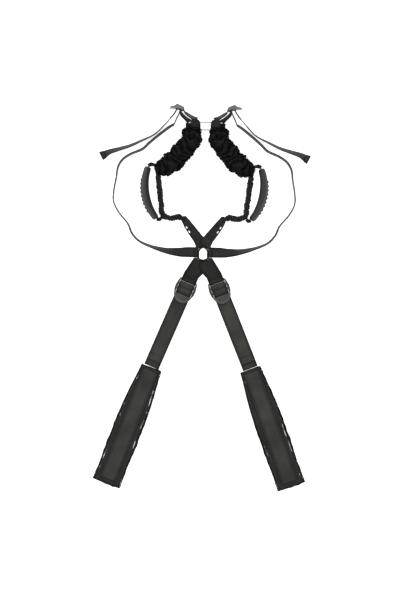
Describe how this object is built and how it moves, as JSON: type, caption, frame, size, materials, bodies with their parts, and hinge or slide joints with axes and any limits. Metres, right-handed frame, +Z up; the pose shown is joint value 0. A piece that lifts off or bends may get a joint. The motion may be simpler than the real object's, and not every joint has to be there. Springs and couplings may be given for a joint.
{
  "type": "body harness",
  "caption": "Webbing body harness that crosses at the chest, with padded leg straps, plush shoulder sleeves, a top ring and hand grips.",
  "frame": {"origin": "on the table under the middle of the flat harness", "axes": "+Z up from the table, +Y from the leg pads to the ring, +X to the right seen from above"},
  "size_m": [0.517, 0.9353, 0.036],
  "materials": {
    "webbing": "woven",
    "leg_webbing": "satin weave",
    "plush": "plush",
    "sleeve_cloth": "gathered knit",
    "pad_cloth": "woven",
    "pad_edge": "bound edge",
    "pad_foam": "foam",
    "piping": "gloss",
    "buckle": "satin",
    "grommet": "matte",
    "grip_rubber": "matte",
    "ring": "polished"
  },
  "bodies": {
    "harness": {"centre_grommet": "grommet", "lower_strap_left": "webbing", "upper_strap_left": "webbing", "side_strap_left": "webbing", "side_tail_left": "webbing", "side_tail_hem_left": "webbing", "buckle_loop_left": "webbing", "sleeve_top_left": "webbing", "ring_loop_left": "webbing", "plush_sleeve_left": "plush", "core_strap_left": "webbing", "grip_tab_upper_left": "webbing", "grip_tab_lower_left": "webbing", "gathered_sleeve_upper_left": "sleeve_cloth", "gathered_sleeve_lower_left": "sleeve_cloth", "rail_strap_left": "webbing", "lower_strap_right": "webbing", "upper_strap_right": "webbing", "side_strap_right": "webbing", "side_tail_right": "webbing", "side_tail_hem_right": "webbing", "buckle_loop_right": "webbing", "sleeve_top_right": "webbing", "ring_loop_right": "webbing", "plush_sleeve_right": "plush", "core_strap_right": "webbing", "grip_tab_upper_right": "webbing", "grip_tab_lower_right": "webbing", "gathered_sleeve_upper_right": "sleeve_cloth", "gathered_sleeve_lower_right": "sleeve_cloth", "rail_strap_right": "webbing"},
    "ring": {"centre_ring": "ring"},
    "leg_adjuster_left": {"leg_buckle_left": "buckle", "leg_strap_left": "leg_webbing", "leg_tail_left": "leg_webbing"},
    "leg_pad_left": {"pad_cover_left": "pad_cloth", "pad_foam_left": "pad_foam", "pad_binding_left": "pad_edge", "pad_strip_left": "leg_webbing", "pad_piping_inner_left": "piping", "pad_piping_outer_left": "piping"},
    "leg_tail_end_left": {"leg_tail_hem_left": "leg_webbing"},
    "hand_grip_left": {"grip_left": "grip_rubber", "grip_strap_left": "webbing"},
    "side_slider_left": {"side_buckle_left": "buckle", "side_turn_left": "webbing"},
    "leg_adjuster_right": {"leg_buckle_right": "buckle", "leg_strap_right": "leg_webbing", "leg_tail_right": "leg_webbing"},
    "leg_pad_right": {"pad_cover_right": "pad_cloth", "pad_foam_right": "pad_foam", "pad_binding_right": "pad_edge", "pad_strip_right": "leg_webbing", "pad_piping_inner_right": "piping", "pad_piping_outer_right": "piping"},
    "leg_tail_end_right": {"leg_tail_hem_right": "leg_webbing"},
    "hand_grip_right": {"grip_right": "grip_rubber", "grip_strap_right": "webbing"},
    "side_slider_right": {"side_buckle_right": "buckle", "side_turn_right": "webbing"}
  },
  "joints": [
    {"name": "ring_swivel", "type": "hinge", "parent": "harness", "child": "ring", "pos_m": [0, 0.416, 0.0136], "axis": [1, 0, 0], "range_deg": [-20, 10]},
    {"name": "leg_fold_left", "type": "hinge", "parent": "harness", "child": "leg_adjuster_left", "pos_m": [-0.0338, 0.039, 0.0046], "axis": [-0.9239, 0.3827, 0], "range_deg": [0, 75]},
    {"name": "leg_adjust_left", "type": "slide", "parent": "leg_adjuster_left", "child": "leg_pad_left", "axis": [0.3827, 0.9239, 0], "range_m": [-0.13, 0.13], "deforming": ["leg_strap_left"]},
    {"name": "leg_tail_run_left", "type": "slide", "parent": "leg_adjuster_left", "child": "leg_tail_end_left", "axis": [0.3827, 0.9239, 0], "range_m": [-0.13, 0.13], "deforming": ["leg_tail_left"]},
    {"name": "grip_swing_left", "type": "hinge", "parent": "harness", "child": "hand_grip_left", "pos_m": [-0.1264, 0.3183, 0.0105], "axis": [-0.1526, 0.9883, 0], "range_deg": [0, 82]},
    {"name": "side_buckle_tilt_left", "type": "hinge", "parent": "harness", "child": "side_slider_left", "pos_m": [-0.0566, 0.4572, 0.016], "axis": [0, 0, 1], "range_deg": [-10, 10], "deforming": ["side_turn_left"]},
    {"name": "leg_fold_right", "type": "hinge", "parent": "harness", "child": "leg_adjuster_right", "pos_m": [0.0338, 0.039, 0.0046], "axis": [-0.9239, -0.3827, 0], "range_deg": [0, 75]},
    {"name": "leg_adjust_right", "type": "slide", "parent": "leg_adjuster_right", "child": "leg_pad_right", "axis": [-0.3827, 0.9239, 0], "range_m": [-0.13, 0.13], "deforming": ["leg_strap_right"]},
    {"name": "leg_tail_run_right", "type": "slide", "parent": "leg_adjuster_right", "child": "leg_tail_end_right", "axis": [-0.3827, 0.9239, 0], "range_m": [-0.13, 0.13], "deforming": ["leg_tail_right"]},
    {"name": "grip_swing_right", "type": "hinge", "parent": "harness", "child": "hand_grip_right", "pos_m": [0.1264, 0.3183, 0.0105], "axis": [-0.1526, -0.9883, 0], "range_deg": [0, 82]},
    {"name": "side_buckle_tilt_right", "type": "hinge", "parent": "harness", "child": "side_slider_right", "pos_m": [0.0566, 0.4572, 0.016], "axis": [0, 0, 1], "range_deg": [-10, 10], "deforming": ["side_turn_right"]}
  ],
  "couplings": [
    {"joint": "leg_tail_run_left", "follows": "leg_adjust_left", "ratio": -1},
    {"joint": "leg_tail_run_right", "follows": "leg_adjust_right", "ratio": -1}
  ]
}
